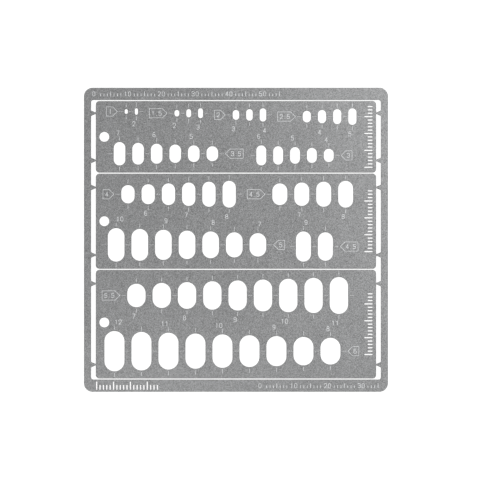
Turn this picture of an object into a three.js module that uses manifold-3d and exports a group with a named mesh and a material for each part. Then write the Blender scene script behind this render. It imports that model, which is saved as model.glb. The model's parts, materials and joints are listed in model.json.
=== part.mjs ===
// Etched stainless steel modelling template: one thin sheet, divided by etching into a square frame,
// three plates of round-ended slots, and twelve small pointed gates that hold the plates in the frame.
// Millimetres, +Z up. The sheet lies flat with its back on z = 0 and its marked face up, the origin is
// at the middle of its back, +X runs along the plates and +Y points to the header rail.
import * as THREE from "three";
import { mergeVertices } from "three/addons/utils/BufferGeometryUtils.js";
import Module from "manifold-3d";

// Sheet and frame
const SHEET_THICKNESS = 0.2;
const SIDE_RAIL = 2.05; // width of the left and right rails
const HEADER_RAIL = 3.55; // width of the rail above the plates
const SIDE_CHANNEL = 1.45; // etched channel between a side rail and the plates' ends
const PLATE_GAP = 0.4; // etched gap between two plates, and between a plate and the header or footer
const SHEET_CORNER = 2.5;
const WINDOW_CORNER = 0.7;
const PLATE_CORNER = 1;

// Gates: each tapers from the side rail to a narrow tip on the plate's end, where it is broken off
const GATE_ROOT = 1.6;
const GATE_TIP = 0.3;

// Slots: those of a group have one width, and lengths that go up in equal steps
const LENGTH_STEP = 0.5;
const SLOT_WEB = 2; // metal between neighbouring slots of a group
const EDGE_MARGIN = 2.05; // metal between a group's longest slot and the plate's long edge
const SHORT_TAG_LEAD = 8.75; // metal between two groups, with room for a tag with a whole number
const LONG_TAG_LEAD = 10.75; // the same, with room for a tag with a decimal

// Hanging hole near each plate's left end
const HOLE_DIAMETER = 3;
const HOLE_MARGIN = 1; // metal between the hole and the plate's end

// Graduations: a comb of narrow bars cut right through, every fifth one long
const BAR_PITCH = 1;
const BAR_WIDTH = 0.45;
const LONG_BAR = 2.5;
const SHORT_BAR = 1.5;
const LONG_BAR_EVERY = 5;
const SCALE_SPAN = 18; // from the first bar to the last
const SCALE_MARGIN = 1; // metal between the bars and the plate's edges
const SCALE_SPACE = 2.25; // metal between the longest row of slots and the bars
const FOOTER_MARGIN = 0.525; // metal above and below the long bars in the footer rail

const CHORD_ERROR = 0.01; // how far a facet may lie from its true arc
const CUT_OVERSHOOT = 1; // how far a cutter stands out of each face of the sheet

// The plates from top to bottom. A row's groups go from left to right, and lead is the metal before a
// group. A slot is longer than it is wide by a whole number of length steps, and steps is that number for
// a group's shortest slot. Upper rows grow to the right and lower rows shrink to the right. labelBand
// lies between the two rows, gateInset is from a long edge to a gate's middle, and holeLift is from the
// top of the lower row up to the hanging hole's centre.
const PLATES = [
  {
    size: "small",
    labelBand: 5,
    gateInset: 3.55,
    holeLift: 1.5,
    upper: [
      { lead: 8.5, width: 1, steps: 1, count: 2 },
      { lead: LONG_TAG_LEAD, width: 1.5, steps: 1, count: 3 },
      { lead: SHORT_TAG_LEAD, width: 2, steps: 2, count: 3 },
      { lead: LONG_TAG_LEAD, width: 2.5, steps: 2, count: 4 },
    ],
    lower: [
      { lead: 5.25, width: 3.5, steps: 2, count: 6 },
      { lead: 11.25, width: 3, steps: 2, count: 5 },
    ],
  },
  {
    size: "medium",
    labelBand: 6,
    gateInset: 4.05,
    holeLift: 2,
    upper: [
      { lead: 7.5, width: 4, steps: 3, count: 6 },
      { lead: LONG_TAG_LEAD, width: 4.5, steps: 4, count: 4 },
    ],
    lower: [
      { lead: 3.5, width: 5, steps: 4, count: 7 },
      { lead: SHORT_TAG_LEAD, width: 4.5, steps: 8, count: 2 },
    ],
  },
  {
    size: "large",
    labelBand: 5,
    gateInset: 4.05,
    holeLift: 2.5,
    upper: [{ lead: 9.25, width: 5.5, steps: 3, count: 9 }],
    lower: [{ lead: 2.5, width: 6, steps: 4, count: 9 }],
  },
];

// Sizes that follow from the ones above
const slotLength = (group, rank) => group.width + (group.steps + rank) * LENGTH_STEP;
const longestSlot = (group) => slotLength(group, group.count - 1);
const rowHeight = (row) => Math.max(...row.map(longestSlot));
const groupSpan = (group) => group.count * (group.width + SLOT_WEB) - SLOT_WEB;
const rowEnd = (row) => row.reduce((end, group) => end + group.lead + groupSpan(group), 0);
const lowerRowTop = (plate) => EDGE_MARGIN + rowHeight(plate.lower);
const plateHeight = (plate) =>
  lowerRowTop(plate) + plate.labelBand + rowHeight(plate.upper) + EDGE_MARGIN;

const PLATE_LENGTH =
  Math.max(...PLATES.flatMap((plate) => [rowEnd(plate.upper), rowEnd(plate.lower)])) +
  SCALE_SPACE + LONG_BAR + SCALE_MARGIN;
const FOOTER_RAIL = LONG_BAR + 2 * FOOTER_MARGIN;
const WINDOW_LENGTH = PLATE_LENGTH + 2 * SIDE_CHANNEL;
const WINDOW_HEIGHT = PLATES.reduce((sum, plate) => sum + plateHeight(plate) + PLATE_GAP, PLATE_GAP);
const SHEET_LENGTH = WINDOW_LENGTH + 2 * SIDE_RAIL;
const SHEET_HEIGHT = HEADER_RAIL + WINDOW_HEIGHT + FOOTER_RAIL;

const wasm = await Module();
wasm.setup();

// The finish of a piece: plain grey steel with a matt etched surface.
function etchedSteel() {
  return new THREE.MeshStandardMaterial({ color: 0x929394, roughness: 0.5, metalness: 0.9 });
}

// Points along an arc, close enough together to keep within CHORD_ERROR of it.
function arcPoints(x, y, radius, from, to) {
  const facet = 2 * Math.acos(1 - CHORD_ERROR / radius);
  const count = Math.ceil(Math.abs(to - from) / facet);
  return Array.from({ length: count + 1 }, (_, i) => {
    const angle = from + ((to - from) * i) / count;
    return new THREE.Vector2(x + radius * Math.cos(angle), y + radius * Math.sin(angle));
  });
}

// A rectangle with round corners, from its lower left corner.
function roundedRectangle(x, y, length, height, radius) {
  const quarter = Math.PI / 2;
  const [left, right] = [x + radius, x + length - radius];
  const [bottom, top] = [y + radius, y + height - radius];
  return [
    ...arcPoints(right, bottom, radius, -quarter, 0),
    ...arcPoints(right, top, radius, 0, quarter),
    ...arcPoints(left, top, radius, quarter, 2 * quarter),
    ...arcPoints(left, bottom, radius, 2 * quarter, 3 * quarter),
  ];
}

// An upright slot with half-round ends, around its centre.
function slotOutline(x, y, width, length) {
  const radius = width / 2;
  const straight = (length - width) / 2;
  return [
    ...arcPoints(x, y + straight, radius, 0, Math.PI),
    ...arcPoints(x, y - straight, radius, Math.PI, 2 * Math.PI),
  ];
}

function circleOutline(x, y, diameter) {
  return arcPoints(x, y, diameter / 2, 0, 2 * Math.PI).slice(0, -1);
}

function rectangleOutline(x, y, length, height) {
  return [
    new THREE.Vector2(x, y),
    new THREE.Vector2(x + length, y),
    new THREE.Vector2(x + length, y + height),
    new THREE.Vector2(x, y + height),
  ];
}

// The solid with this outline between two heights.
function extrudedSolid(outline, bottom, top) {
  const shape = new THREE.Shape(outline);
  const geometry = new THREE.ExtrudeGeometry(shape, { depth: top - bottom, bevelEnabled: false });
  geometry.translate(0, 0, bottom);
  geometry.deleteAttribute("normal");
  geometry.deleteAttribute("uv");
  const merged = mergeVertices(geometry);
  const vertProperties = merged.attributes.position.array;
  const triVerts = Uint32Array.from(merged.index.array);
  return new wasm.Manifold(new wasm.Mesh({ numProp: 3, vertProperties, triVerts }));
}

// A piece of the sheet, with this outline and with these holes cut right through it.
function sheetPiece(name, outline, holes = []) {
  const blank = extrudedSolid(outline, 0, SHEET_THICKNESS);
  const cutters = holes.map((hole) => extrudedSolid(hole, -CUT_OVERSHOOT, SHEET_THICKNESS + CUT_OVERSHOOT));
  const solid = cutters.reduce((piece, cutter) => piece.subtract(cutter), blank);
  const { vertProperties, triVerts } = solid.getMesh();
  const geometry = new THREE.BufferGeometry();
  geometry.setAttribute("position", new THREE.BufferAttribute(vertProperties, 3));
  geometry.setIndex(new THREE.BufferAttribute(triVerts, 1));
  const mesh = new THREE.Mesh(geometry.toNonIndexed(), etchedSteel());
  mesh.geometry.computeVertexNormals();
  mesh.name = name;
  return mesh;
}

// The slots of one row, each group along the centre line that centreOf gives for its longest slot.
function rowSlots(row, growsRight, centreOf) {
  const slots = [];
  let end = 0;
  for (const group of row) {
    const first = end + group.lead + group.width / 2;
    const centre = centreOf(longestSlot(group));
    for (let i = 0; i < group.count; i++) {
      const x = first + i * (group.width + SLOT_WEB);
      const rank = growsRight ? i : group.count - 1 - i;
      slots.push(slotOutline(x, centre, group.width, slotLength(group, rank)));
    }
    end += group.lead + groupSpan(group);
  }
  return slots;
}

// Where the bars of a scale lie along a piece of this length, and how long each is.
function scaleBars(available) {
  const count = Math.floor(Math.min(SCALE_SPAN, available - BAR_WIDTH) / BAR_PITCH) + 1;
  return Array.from({ length: count }, (_, i) => ({
    along: i * BAR_PITCH,
    length: i % LONG_BAR_EVERY === 0 ? LONG_BAR : SHORT_BAR,
  }));
}

// The upright scale at a plate's right end, centred on its height.
function plateScale(height) {
  const bars = scaleBars(height - 2 * SCALE_MARGIN);
  const start = (height - bars.at(-1).along - BAR_WIDTH) / 2;
  const end = PLATE_LENGTH - SCALE_MARGIN;
  return bars.map(({ along, length }) => rectangleOutline(end - length, start + along, length, BAR_WIDTH));
}

// One template plate, from its lower left corner.
function templatePlate(plate) {
  const height = plateHeight(plate);
  const outline = roundedRectangle(0, 0, PLATE_LENGTH, height, PLATE_CORNER);
  const holeInset = HOLE_MARGIN + HOLE_DIAMETER / 2;
  const holeHeight = lowerRowTop(plate) + plate.holeLift;
  return sheetPiece(`${plate.size}_slot_plate`, outline, [
    ...rowSlots(plate.upper, true, (longest) => height - EDGE_MARGIN - longest / 2),
    ...rowSlots(plate.lower, false, (longest) => EDGE_MARGIN + longest / 2),
    circleOutline(holeInset, holeHeight, HOLE_DIAMETER),
    ...plateScale(height),
  ]);
}

// One gate, with its root on x = 0 and its tip towards +X.
function gate(name) {
  return sheetPiece(name, [
    new THREE.Vector2(0, -GATE_ROOT / 2),
    new THREE.Vector2(SIDE_CHANNEL, -GATE_TIP / 2),
    new THREE.Vector2(SIDE_CHANNEL, GATE_TIP / 2),
    new THREE.Vector2(0, GATE_ROOT / 2),
  ]);
}

// The frame around the plates, with the scale in its footer, centred on the sheet.
function frame() {
  const [left, bottom] = [-SHEET_LENGTH / 2, -SHEET_HEIGHT / 2];
  const outline = roundedRectangle(left, bottom, SHEET_LENGTH, SHEET_HEIGHT, SHEET_CORNER);
  const window = roundedRectangle(
    -WINDOW_LENGTH / 2, bottom + FOOTER_RAIL, WINDOW_LENGTH, WINDOW_HEIGHT, WINDOW_CORNER,
  );
  const bars = scaleBars(PLATE_LENGTH).map(({ along, length }) =>
    rectangleOutline(-PLATE_LENGTH / 2 + along, bottom + FOOTER_MARGIN, BAR_WIDTH, length),
  );
  return sheetPiece("frame", outline, [window, ...bars]);
}

// The whole sheet
const template = new THREE.Group();
template.add(frame());
let plateTop = SHEET_HEIGHT / 2 - HEADER_RAIL;
for (const plate of PLATES) {
  plateTop -= PLATE_GAP;
  const height = plateHeight(plate);
  const mesh = templatePlate(plate);
  mesh.position.set(-PLATE_LENGTH / 2, plateTop - height, 0);
  template.add(mesh);

  const gateHeights = { upper: plateTop - plate.gateInset, lower: plateTop - height + plate.gateInset };
  for (const [end, y] of Object.entries(gateHeights)) {
    const leftGate = gate(`${plate.size}_gate_left_${end}`);
    leftGate.position.set(-WINDOW_LENGTH / 2, y, 0);
    const rightGate = gate(`${plate.size}_gate_right_${end}`);
    rightGate.position.set(WINDOW_LENGTH / 2, y, 0);
    rightGate.scale.x = -1;
    template.add(leftGate, rightGate);
  }
  plateTop -= height;
}

export default template;
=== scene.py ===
# An etched steel modelling template lying on a white table, seen straight from above.
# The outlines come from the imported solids. This script gives the sheet its etched edges, its half-etched
# marks and its finish. Lengths are in millimetres until they go into a mesh, a material, a light or the
# camera.
import json
import math
from collections import namedtuple
from itertools import accumulate

import bpy
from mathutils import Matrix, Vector
from mathutils.geometry import delaunay_2d_cdt


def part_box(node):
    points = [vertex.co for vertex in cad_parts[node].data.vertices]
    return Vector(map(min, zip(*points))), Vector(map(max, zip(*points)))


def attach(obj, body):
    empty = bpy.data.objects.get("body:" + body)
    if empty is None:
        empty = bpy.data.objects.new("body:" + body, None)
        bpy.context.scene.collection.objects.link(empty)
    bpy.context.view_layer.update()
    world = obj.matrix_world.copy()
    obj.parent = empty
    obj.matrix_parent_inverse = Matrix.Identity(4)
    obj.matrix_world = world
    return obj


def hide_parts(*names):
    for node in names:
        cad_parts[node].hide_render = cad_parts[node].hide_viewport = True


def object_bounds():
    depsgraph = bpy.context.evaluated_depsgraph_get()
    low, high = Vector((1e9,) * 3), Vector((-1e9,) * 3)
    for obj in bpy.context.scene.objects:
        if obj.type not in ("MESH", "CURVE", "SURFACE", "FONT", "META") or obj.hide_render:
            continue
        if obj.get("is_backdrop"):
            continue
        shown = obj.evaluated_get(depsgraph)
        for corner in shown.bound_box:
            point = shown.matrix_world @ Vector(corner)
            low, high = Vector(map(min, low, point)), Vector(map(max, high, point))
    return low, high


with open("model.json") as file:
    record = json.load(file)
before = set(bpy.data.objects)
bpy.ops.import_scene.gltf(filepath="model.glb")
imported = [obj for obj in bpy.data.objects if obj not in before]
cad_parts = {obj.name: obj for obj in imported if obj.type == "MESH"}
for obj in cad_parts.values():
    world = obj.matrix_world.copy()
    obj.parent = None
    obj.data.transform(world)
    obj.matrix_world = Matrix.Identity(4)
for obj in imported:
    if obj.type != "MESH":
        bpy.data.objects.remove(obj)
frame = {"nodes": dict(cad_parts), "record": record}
cad_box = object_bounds()

MM = 0.001

# Where the photograph shows the sheet
PHOTO_PIXELS = 480
PIXELS_PER_MM = 3.376
SHEET_CENTRE_PIXEL = (235.965, 239.79)

# Reading the solids
UPWARD = 0.9  # least upward part of the normal of a face that counts as upper
DECIMALS = 4  # kept of a coordinate in millimetres

# Etched edges: where the etching from both sides meets, a cusp is left between the two faces
EDGE_RIM = 0.06  # from a face's edge to the cusp
CUSP_REACH = 0.03  # of the cusp beyond the outline
EDGE_STEPS = 3  # bands between a face and the cusp
SHARP_ANGLE = math.radians(40)

# Half-etched marks
LINE_WIDTH = 0.115
DASH_WIDTH = 0.075
NUMBER_WIDTH = 0.13  # of the lines that numbers are drawn with
MARK_DEPTH = 0.06
LENGTH_STEP = 0.5  # slot sizes are multiples of this
TICK_GAP = 0.4  # from a slot's end to its tick
TICK_LENGTH = 1.2
DASH_LENGTH = 1.3
DASH_INSET = 1  # from a group's outer slots to the middle of the dash beside them
LABEL_GAP = 1.94  # from a slot's end to its number
LABEL_SHIFT = {1: 0.75, 2: 1.1}  # from the slot's axis to the middle of a number with so many digits
NEAR_SHIFT = 0.47  # the same for a number that is closer to the axis

# Slots, by width and length, whose number is on the right, and those whose number is closer to the axis
RIGHT_LABELS = {(2, 4), (5, 7), (5, 8), (5, 9), (5, 10), (4.5, 9), (6, 12)}
NEAR_LABELS = {(2, 4), (5, 7), (3.5, 7)}

# Size tags: a five-sided outline that points at its group
TAG_GAP = 2.15  # from the tag's tip to the nearest slot
TAG_HEIGHT = 2.75
TAG_POINT = 1.4
TAG_BODY = {1: 1.85, 3: 3.85}  # length behind the point for so many characters
TAG_TEXT_SHIFT = 0.2  # from the middle of the body towards the point

# Numbers, drawn as single lines with round corners and ends
DIGIT_WIDTH = 0.7
DIGIT_HEIGHT = 1.27
DIGIT_ADVANCE = 1.18  # from one digit to the next
DOT_ADVANCE = 0.9  # the same for a decimal point
CORNER_RADIUS = 0.33
CORNER_SHARE = 0.48  # of a side that one rounded corner may take up
CORNER_STEPS = 6
DOT_SIDES = 10

# The lines of each character, in a box one unit wide and high
STROKES = {
    "0": [[(0, 0), (1, 0), (1, 1), (0, 1), (0, 0)]],
    "1": [[(0.25, 0.8), (0.55, 1)], [(0.55, 1), (0.55, 0)]],
    "2": [[(0, 0.68), (0, 1), (1, 1), (1, 0.55), (0, 0)], [(0, 0), (1, 0)]],
    "3": [
        [(0, 0.8), (0, 1), (1, 1), (1, 0.53), (0.3, 0.53)],
        [(0.3, 0.53), (1, 0.53), (1, 0), (0, 0), (0, 0.22)],
    ],
    "4": [[(0.72, 0), (0.72, 1)], [(0.72, 1), (0, 0.28)], [(0, 0.28), (1, 0.28)]],
    "5": [
        [(0.95, 1), (0.08, 1)],
        [(0.08, 1), (0, 0.54)],
        [(0, 0.54), (1, 0.62), (1, 0), (0, 0), (0, 0.18)],
    ],
    "6": [[(0.95, 1), (0, 1), (0, 0), (1, 0), (1, 0.57), (0, 0.57)]],
    "7": [[(0, 1), (1, 1)], [(1, 1), (0.35, 0)]],
    "8": [
        [(0, 0), (1, 0), (1, 0.53), (0, 0.53), (0, 0)],
        [(0.05, 0.53), (0.95, 0.53), (0.95, 1), (0.05, 1), (0.05, 0.53)],
    ],
    "9": [[(1, 0.43), (0, 0.43), (0, 1), (1, 1), (1, 0), (0.05, 0)]],
    ".": [[(0.47, 0), (0.53, 0)]],
}

# Rulers on the header and footer rails, with numbers in place of some of the ticks
RULER_SIDE_MARGIN = 2.9  # from the sheet's left or right edge to the ruler's end
HEADER_RULER = 55
FOOTER_RULER = 35
RULER_TICK = 0.8
RULER_FIVE = 1.4  # length of the tick halfway between two numbers
RULER_LINE = 0.16
NUMBER_EVERY = 10
NUMBER_ROOM = 1  # ticks left out on each side of a number

# Finishes, in the order of a piece's material slots
FACE, EDGE, MARK = range(3)

# Steel: a fine grain and a broad mottle in its colour, a haze in its roughness, and a slight relief
STEEL_TINT = (0.99, 1, 1.01)
GRAIN_SIZE = 0.1
MOTTLE_SIZE = 9
MOTTLE_DETAIL = 1
MOTTLE_RANGE = (0.96, 1.04)
HAZE_SIZE = 0.5
HAZE_DETAIL = 2
RELIEF_SIZE = 0.2
RELIEF_DETAIL = 3
RELIEF_HEIGHT = 0.01
NOISE_RANGE = (0.3, 0.7)  # where most values of a noise lie

# Table and room
WHITE = (1, 1, 1, 1)
TABLE_COLOUR = (0.8, 0.8, 0.8, 1)
TABLE_ROUGHNESS = 0.9
FLOOR_SIZE = 1500
FLOOR_DROP = 0.01  # of the floor below the sheet's back
FLOOR_GLOW = 0.45  # added to the floor where it is seen
ROOM_LIGHT = 0.75  # strength of the room where it only lights things; where it is seen, it has 1

# Lamps, with the degrees that each stands round from +X, and its watts
LAMP_DISTANCE = 450
LAMP_SIZE = 160
LAMP_TILT = math.radians(26)  # from straight above
LAMPS = {"softbox_right": (0, 0.15), "softbox_upper_right": (60, 0.098), "softbox_below": (255, 0.112)}

# Camera
LENS = 100
SENSOR = 36

# What the triangulation is asked for: triangles inside the loops, with points this close made one
INSIDE_LOOPS = 1
SAME_POINT = 1e-4

Extent = namedtuple("Extent", "x y width height")


# Outlines

def flat_point(position):
    return (round(position.x / MM, DECIMALS), round(position.y / MM, DECIMALS))


def around(loop):
    """The sides of a loop."""
    return zip(loop, loop[1:] + loop[:1])


def extent(loop):
    """The middle and the size of a loop."""
    xs, ys = zip(*loop)
    return Extent((min(xs) + max(xs)) / 2, (min(ys) + max(ys)) / 2, max(xs) - min(xs), max(ys) - min(ys))


def outlines(node):
    """The loops around a node's upper face, with metal on their left. The outer one comes first."""
    mesh = frame["nodes"][node].data
    sides = {}
    for face in mesh.polygons:
        if face.normal.z > UPWARD:
            corners = [flat_point(mesh.vertices[i].co) for i in face.vertices]
            sides.update(dict.fromkeys(around(corners)))
    following = {start: end for start, end in sides if (end, start) not in sides}
    loops = []
    while following:
        first, point = following.popitem()
        loop = [first]
        while point != first:
            loop.append(point)
            point = following.pop(point)
        loops.append(loop)
    return sorted(loops, key=lambda loop: extent(loop).width, reverse=True)


def left_normal(start, end):
    step = Vector(end) - Vector(start)
    return Vector((-step.y, step.x)).normalized()


def miter(before, point, after):
    """How a corner moves when the sides that meet there move one unit to their left."""
    normal = left_normal(before, point)
    middle = (normal + left_normal(point, after)).normalized()
    return middle / middle.dot(normal)


# Joints: the stretches where a gate's root or tip runs into the frame or a plate

GATES = [node for node in frame["nodes"] if "_gate_" in node]
JOINTS = []
for gate in GATES:
    corners = sorted(outlines(gate)[0], key=lambda corner: (abs(corner[0]), corner[1]))
    JOINTS.append(corners[:2])
    JOINTS.append(corners[2:])
JOINT_POINTS = {point for joint in JOINTS for point in joint}


def lies_between(point, start, end):
    """Whether a point lies on a side, and not at one of its ends."""
    detour = math.dist(start, point) + math.dist(point, end) - math.dist(start, end)
    return point not in (start, end) and detour < SAME_POINT


def is_joined(start, end):
    return any(start in joint and end in joint for joint in JOINTS)


def towards(start, end, distance):
    return tuple(Vector(start) + (Vector(end) - Vector(start)).normalized() * distance)


def with_joints(loop):
    """The loop with a point where each joint begins or ends, and another on the open side of it."""
    points = []
    for start, end in around(loop):
        stops = [point for point in JOINT_POINTS if lies_between(point, start, end)]
        stops.sort(key=lambda point: math.dist(point, start))
        for here, there in zip([start, *stops], [*stops, end]):
            points.append(here)
            if is_joined(here, there):
                continue
            if here in JOINT_POINTS:
                points.append(towards(here, there, EDGE_RIM))
            if there in JOINT_POINTS:
                points.append(towards(there, here, EDGE_RIM))
    return points


def drawn_back(loop, distance):
    """The loop moved into the metal, except where a joint holds it."""
    neighbours = zip(loop[-1:] + loop[:-1], loop, loop[1:] + loop[:1])
    return [
        point if point in JOINT_POINTS else tuple(Vector(point) + miter(before, point, after) * distance)
        for before, point, after in neighbours
    ]


# Marks: each is a list of polygons

def ribbon(points, width=LINE_WIDTH):
    """The quads of a line along these points, closed if it ends where it starts."""
    line = [Vector(point) for point in points]
    if points[0] == points[-1]:
        line = [line[-2], *line, line[1]]
    else:
        line = [2 * line[0] - line[1], *line, 2 * line[-1] - line[-2]]
    sides = []
    for before, point, after in zip(line, line[1:], line[2:]):
        half = miter(before, point, after) * width / 2
        sides.append((point - half, point + half))
    return [(near[0], far[0], far[1], near[1]) for near, far in zip(sides, sides[1:])]


def dot(place):
    """The round end of a number's line."""
    turns = [2 * math.pi * i / DOT_SIDES for i in range(DOT_SIDES)]
    return [Vector(place) + Vector((math.cos(turn), math.sin(turn))) * NUMBER_WIDTH / 2 for turn in turns]


def rounded(points):
    """The line with its corners rounded, as far as the sides beside them allow."""
    line = [Vector(point) for point in points]
    closed = points[0] == points[-1]
    if closed:
        line = [*line, line[1]]
    path = [] if closed else [line[0]]
    for before, corner, after in zip(line, line[1:], line[2:]):
        shorter = min((before - corner).length, (after - corner).length)
        reach = min(CORNER_RADIUS, CORNER_SHARE * shorter)
        start = corner + (before - corner).normalized() * reach
        end = corner + (after - corner).normalized() * reach
        for i in range(CORNER_STEPS + 1):
            t = i / CORNER_STEPS
            path.append((1 - t) ** 2 * start + 2 * t * (1 - t) * corner + t ** 2 * end)
    path.append(path[0] if closed else line[-1])
    return [tuple(point) for point in path]


def advance(character):
    return DOT_ADVANCE if character == "." else DIGIT_ADVANCE


def text(characters, x, y):
    """A number around its middle."""
    marks = []
    left = x - sum(map(advance, characters)) / 2
    for character in characters:
        start = left + (advance(character) - DIGIT_WIDTH) / 2
        for stroke in STROKES[character]:
            points = [(start + u * DIGIT_WIDTH, y + (v - 0.5) * DIGIT_HEIGHT) for u, v in stroke]
            marks += ribbon(rounded(points), NUMBER_WIDTH)
            if points[0] != points[-1]:
                marks += [dot(points[0]), dot(points[-1])]
        left += advance(character)
    return marks


def tag(tip, y, direction, characters):
    """A group's size tag, whose tip points to +X or -X as direction says."""
    shoulder = tip - direction * TAG_POINT
    back = shoulder - direction * TAG_BODY[len(characters)]
    low, high = y - TAG_HEIGHT / 2, y + TAG_HEIGHT / 2
    outline = [(tip, y), (shoulder, high), (back, high), (back, low), (shoulder, low), (tip, y)]
    return ribbon(outline) + text(characters, (back + shoulder) / 2 + direction * TAG_TEXT_SHIFT, y)


def nominal(size):
    """The marked size that a measured one stands for."""
    return round(size / LENGTH_STEP) * LENGTH_STEP


def slot_marks(slot, inward):
    """The ticks at both ends of a slot and, on the inward side, its length if that is a whole number."""
    marks = []
    for side in (-1, 1):
        end = slot.y + side * (slot.height / 2 + TICK_GAP)
        marks += ribbon([(slot.x, end), (slot.x, end + side * TICK_LENGTH)])
    width, length = nominal(slot.width), nominal(slot.height)
    if length == int(length):
        number = str(int(length))
        shift = NEAR_SHIFT if (width, length) in NEAR_LABELS else LABEL_SHIFT[len(number)]
        if (width, length) not in RIGHT_LABELS:
            shift = -shift
        height = slot.height / 2 + LABEL_GAP + (DIGIT_HEIGHT + NUMBER_WIDTH) / 2
        marks += text(number, slot.x + shift, slot.y + inward * height)
    return marks


def dash(x, y):
    return ribbon([(x - DASH_LENGTH / 2, y), (x + DASH_LENGTH / 2, y)], DASH_WIDTH)


def group_marks(slots, upper):
    """The marks of slots of one width: tags lead the upper rows and follow the lower ones."""
    marks = []
    for slot in slots:
        marks += slot_marks(slot, -1 if upper else 1)
    y = slots[0].y
    left = slots[0].x - slots[0].width / 2
    right = slots[-1].x + slots[-1].width / 2
    middles = [(first.x + second.x) / 2 for first, second in zip(slots, slots[1:])]
    for x in [left - DASH_INSET, *middles, right + DASH_INSET]:
        marks += dash(x, y)
    size = f"{nominal(slots[0].width):g}"
    if upper:
        return marks + tag(left - TAG_GAP, y, 1, size)
    return marks + tag(right + TAG_GAP, y, -1, size)


def plate_marks(loops):
    """Every mark on a plate, worked out from its slots: the openings that are higher than wide."""
    plate, *openings = map(extent, loops)
    groups = {}
    for opening in sorted(openings):
        if opening.height - opening.width > LENGTH_STEP / 2:
            upper = opening.y > plate.y
            groups.setdefault((upper, nominal(opening.width)), []).append(opening)
    marks = []
    for (upper, _), slots in groups.items():
        marks += group_marks(slots, upper)
    return marks


def ruler(left, y, length):
    """A millimetre ruler whose numbers are around the height y."""
    marks = []
    low = y - (DIGIT_HEIGHT + NUMBER_WIDTH) / 2
    for i in range(length + 1):
        past = i % NUMBER_EVERY
        if past == 0:
            marks += text(str(i), left + i, y)
        elif NUMBER_ROOM < past < NUMBER_EVERY - NUMBER_ROOM:
            height = RULER_FIVE if past == NUMBER_EVERY / 2 else RULER_TICK
            marks += ribbon([(left + i, low), (left + i, low + height)], RULER_LINE)
    return marks


def frame_marks(loops):
    """The rulers on the frame's header and footer rails."""
    sheet, window = extent(loops[0]), extent(loops[1])
    header = (sheet.y + sheet.height / 2 + window.y + window.height / 2) / 2
    footer = (sheet.y - sheet.height / 2 + window.y - window.height / 2) / 2
    left = sheet.x - sheet.width / 2 + RULER_SIDE_MARGIN
    right = sheet.x + sheet.width / 2 - RULER_SIDE_MARGIN
    return ruler(left, header, HEADER_RULER) + ruler(right - FOOTER_RULER, footer, FOOTER_RULER)


# Meshes

class SheetMesh:
    """The points and faces of one piece. Points that coincide are one, and each face has a finish."""

    def __init__(self):
        self.places = {}
        self.faces = []
        self.finishes = []

    def add(self, corners, finish):
        self.faces.append([self.places.setdefault(corner, len(self.places)) for corner in corners])
        self.finishes.append(finish)

    def make_object(self, name, materials):
        mesh = bpy.data.meshes.new(name)
        mesh.from_pydata([Vector(place) * MM for place in self.places], [], self.faces)
        for material in materials:
            mesh.materials.append(material)
        mesh.polygons.foreach_set("material_index", self.finishes)
        mesh.shade_smooth()
        mesh.set_sharp_from_angle(angle=SHARP_ANGLE)
        piece = bpy.data.objects.new(name, mesh)
        bpy.context.scene.collection.objects.link(piece)
        return piece


def metal_triangles(loops, marks=()):
    """Triangles over the metal between the loops, each with whether it lies in a mark."""
    polygons = [loops[0], *(loop[::-1] for loop in loops[1:]), *marks]
    points = [Vector(point) for polygon in polygons for point in polygon]
    ends = accumulate(map(len, polygons))
    faces = [list(range(end - len(polygon), end)) for polygon, end in zip(polygons, ends)]
    spots, _, triangles, _, _, sources = delaunay_2d_cdt(points, [], faces, INSIDE_LOOPS, SAME_POINT)
    # A source lists the polygons that a triangle lies in: the outer loop is 0, then come holes and marks
    for triangle, source in zip(triangles, sources):
        in_hole = any(0 < i < len(loops) for i in source)
        if 0 in source and not in_hole:
            yield [tuple(spots[i]) for i in triangle], max(source) >= len(loops)


def add_upper_face(mesh, loops, marks, top):
    """The marked face, with its marks sunk into it."""
    floor = top - MARK_DEPTH
    sides = {}
    for triangle, marked in metal_triangles(loops, marks):
        if marked:
            mesh.add([(*point, floor) for point in triangle], MARK)
            sides.update(dict.fromkeys(around(triangle)))
        else:
            mesh.add([(*point, top) for point in triangle], FACE)
    for start, end in sides:
        if (end, start) not in sides:
            mesh.add([(*start, top), (*end, top), (*end, floor), (*start, floor)], MARK)


def add_lower_face(mesh, loops):
    for triangle, _ in metal_triangles(loops):
        mesh.add([(*point, 0.0) for point in reversed(triangle)], FACE)


def edge_profile(thickness):
    """How far back and how high the edge lies, from the upper face round the cusp to the lower one."""
    half = thickness / 2
    turns = [math.pi / 2 * i / EDGE_STEPS for i in range(EDGE_STEPS + 1)]
    upper = [(EDGE_RIM * math.cos(turn) - CUSP_REACH, thickness - half * math.sin(turn)) for turn in turns]
    lower = [(back, thickness - height) for back, height in reversed(upper[:-1])]
    return upper + lower


def float_points(points):
    """The points as the triangulation gives them back, in single precision."""
    return [tuple(Vector(point)) for point in points]


def add_edge(mesh, loop, thickness):
    """The etched edge along a loop, from the upper face to the lower one."""
    rings = [
        [(*point, height) for point in float_points(drawn_back(loop, back))]
        for back, height in edge_profile(thickness)
    ]
    for upper, lower in zip(rings, rings[1:]):
        for i in range(len(loop)):
            mesh.add([upper[i - 1], lower[i - 1], lower[i], upper[i]], EDGE)


def etched_piece(node, materials):
    """The piece of the sheet that stands for a node."""
    loops = outlines(node)
    if node == "frame":
        marks = frame_marks(loops)
    elif node in GATES:
        marks = []
    else:
        marks = plate_marks(loops)
    loops = [with_joints(loop) for loop in loops]
    rims = [drawn_back(loop, EDGE_RIM - CUSP_REACH) for loop in loops]
    thickness = round(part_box(node)[1].z / MM, DECIMALS)
    mesh = SheetMesh()
    add_upper_face(mesh, rims, marks, thickness)
    add_lower_face(mesh, rims)
    for loop in loops:
        add_edge(mesh, loop, thickness)
    return mesh.make_object(f"{node}_sheet", materials)


# Materials

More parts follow.
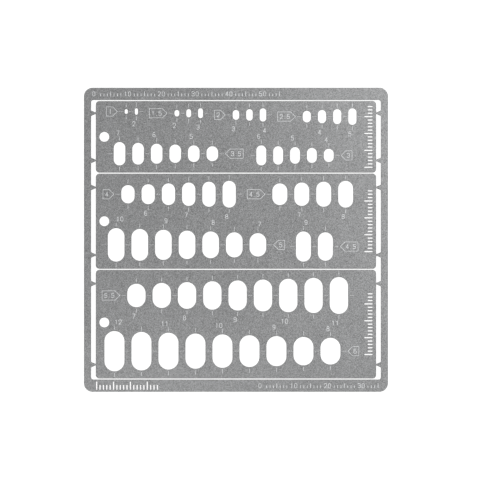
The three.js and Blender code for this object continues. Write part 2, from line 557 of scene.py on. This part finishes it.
def noise(tree, place, size, detail):
    """Noise whose blotches are about this many millimetres across."""
    texture = tree.nodes.new("ShaderNodeTexNoise")
    texture.inputs["Scale"].default_value = 1 / (size * MM)
    texture.inputs["Detail"].default_value = detail
    tree.links.new(place, texture.inputs["Vector"])
    return texture.outputs["Fac"]


def grains(tree, place, size):
    """Soft grains about this many millimetres across, each with a level of its own."""
    texture = tree.nodes.new("ShaderNodeTexVoronoi")
    texture.feature = "SMOOTH_F1"
    texture.inputs["Smoothness"].default_value = 1
    texture.inputs["Scale"].default_value = 1 / (size * MM)
    tree.links.new(place, texture.inputs["Vector"])
    return texture.outputs["Color"]


def spread(tree, value, low, high):
    """A noise stretched to run from low to high over most of its range."""
    node = tree.nodes.new("ShaderNodeMapRange")
    node.inputs["From Min"].default_value = NOISE_RANGE[0]
    node.inputs["From Max"].default_value = NOISE_RANGE[1]
    node.inputs["To Min"].default_value = low
    node.inputs["To Max"].default_value = high
    tree.links.new(value, node.inputs["Value"])
    return node.outputs["Result"]


def shade(tone):
    """A grey of this tone with the steel's cool tint."""
    return (*(tone * channel for channel in STEEL_TINT), 1)


def ramp(tree, value, low, high):
    """A colour that runs from low to high as the value goes from zero to one."""
    node = tree.nodes.new("ShaderNodeValToRGB")
    first, last = node.color_ramp.elements
    first.color = low
    last.color = high
    tree.links.new(value, node.inputs["Fac"])
    return node.outputs["Color"]


def combined(tree, operation, first, second):
    """Two values put together by this operation of a math node."""
    node = tree.nodes.new("ShaderNodeMath")
    node.operation = operation
    tree.links.new(first, node.inputs[0])
    tree.links.new(second, node.inputs[1])
    return node.outputs["Value"]


def steel(name, tone, grain, roughness, relief):
    """Grey metal of this tone, with a fine grain of this contrast and a faint broad mottle."""
    material = bpy.data.materials.new(name)
    material.use_nodes = True
    tree = material.node_tree
    shader = tree.nodes["Principled BSDF"]
    shader.inputs["Metallic"].default_value = 1
    place = tree.nodes.new("ShaderNodeTexCoord").outputs["Object"]

    mottle = spread(tree, noise(tree, place, MOTTLE_SIZE, MOTTLE_DETAIL), *MOTTLE_RANGE)
    level = combined(tree, "MULTIPLY", grains(tree, place, GRAIN_SIZE), mottle)
    colour = ramp(tree, level, shade(tone * (1 - grain)), shade(tone * (1 + grain)))
    tree.links.new(colour, shader.inputs["Base Color"])

    haze = spread(tree, noise(tree, place, HAZE_SIZE, HAZE_DETAIL), *roughness)
    tree.links.new(haze, shader.inputs["Roughness"])

    bump = tree.nodes.new("ShaderNodeBump")
    bump.inputs["Strength"].default_value = relief
    bump.inputs["Distance"].default_value = RELIEF_HEIGHT * MM
    tree.links.new(noise(tree, place, RELIEF_SIZE, RELIEF_DETAIL), bump.inputs["Height"])
    tree.links.new(bump.outputs["Normal"], shader.inputs["Normal"])
    return material


def seen_directly(tree):
    """One for the rays that show a surface itself or its reflection, zero for those that light others."""
    path = tree.nodes.new("ShaderNodeLightPath")
    value = path.outputs["Is Camera Ray"]
    for name in ("Is Glossy Ray", "Is Transmission Ray"):
        value = combined(tree, "MAXIMUM", value, path.outputs[name])
    return value


def table_top(glow):
    """A pale surface that keeps shadows, and glows this much where it is seen."""
    material = bpy.data.materials.new("table_top")
    material.use_nodes = True
    tree = material.node_tree
    shader = tree.nodes["Principled BSDF"]
    shader.inputs["Base Color"].default_value = TABLE_COLOUR
    shader.inputs["Roughness"].default_value = TABLE_ROUGHNESS
    shader.inputs["Specular IOR Level"].default_value = 0
    shader.inputs["Emission Color"].default_value = WHITE
    strength = tree.nodes.new("ShaderNodeMath")
    strength.operation = "MULTIPLY"
    strength.inputs[1].default_value = glow
    tree.links.new(seen_directly(tree), strength.inputs[0])
    tree.links.new(strength.outputs["Value"], shader.inputs["Emission Strength"])
    return material


# The object

materials = [
    steel("rolled_face", tone=0.266, grain=0.82, roughness=(0.28, 0.34), relief=0.1),
    # The etched edge's darker tone is partly the matte etched steel and partly painted shade, for the dark
    # rim that the sloping walls of the edge show.
    steel("etched_edge_painted_shade", tone=0.15, grain=0.4, roughness=(0.5, 0.6), relief=0.3),
    steel("half_etched_mark", tone=0.8, grain=0.2, roughness=(0.6, 0.7), relief=0.3),
]
for body, nodes in frame["record"]["behaviour"]["bodies"].items():
    for node in nodes:
        piece = etched_piece(node, materials)
        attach(piece, body)
        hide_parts(node)

# The table, the room and the lamps

bpy.ops.mesh.primitive_plane_add(size=FLOOR_SIZE * MM, location=(0, 0, -FLOOR_DROP * MM))
floor = bpy.context.object
floor.name = "floor"
floor.data.materials.append(table_top(FLOOR_GLOW))
floor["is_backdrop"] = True

world = bpy.data.worlds.new("white_room")
bpy.context.scene.world = world
world.use_nodes = True
background = world.node_tree.nodes["Background"]
background.inputs["Color"].default_value = WHITE
level = world.node_tree.nodes.new("ShaderNodeMapRange")
level.inputs["To Min"].default_value = ROOM_LIGHT
level.inputs["To Max"].default_value = 1
world.node_tree.links.new(seen_directly(world.node_tree), level.inputs["Value"])
world.node_tree.links.new(level.outputs["Result"], background.inputs["Strength"])


def softbox(name, azimuth, power):
    """A square lamp that faces the sheet, this many degrees round from +X."""
    turn = math.radians(azimuth)
    sideways = math.sin(LAMP_TILT)
    away = Vector((sideways * math.cos(turn), sideways * math.sin(turn), math.cos(LAMP_TILT)))
    lamp = bpy.data.lights.new(name, "AREA")
    lamp.size = LAMP_SIZE * MM
    lamp.energy = power
    stand = bpy.data.objects.new(name, lamp)
    stand.location = away * LAMP_DISTANCE * MM
    stand.rotation_euler = away.to_track_quat("Z", "Y").to_euler()
    bpy.context.scene.collection.objects.link(stand)


for name, (azimuth, power) in LAMPS.items():
    softbox(name, azimuth, power)

# The camera, straight above, so that the sheet's upper face has the photograph's scale and place

camera = bpy.data.cameras.new("camera")
camera.lens = LENS
camera.sensor_width = SENSOR
holder = bpy.data.objects.new("camera", camera)
centre_x, centre_y = SHEET_CENTRE_PIXEL
holder.location = Vector((
    (PHOTO_PIXELS / 2 - centre_x) / PIXELS_PER_MM * MM,
    (centre_y - PHOTO_PIXELS / 2) / PIXELS_PER_MM * MM,
    PHOTO_PIXELS / PIXELS_PER_MM * LENS / SENSOR * MM + cad_box[1].z,
))
bpy.context.scene.collection.objects.link(holder)
bpy.context.scene.camera = holder
bpy.context.scene.view_settings.view_transform = "Standard"

boxes = {"cad": cad_box, "visual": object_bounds()}
{name: [list(corner) for corner in box] for name, box in boxes.items()}
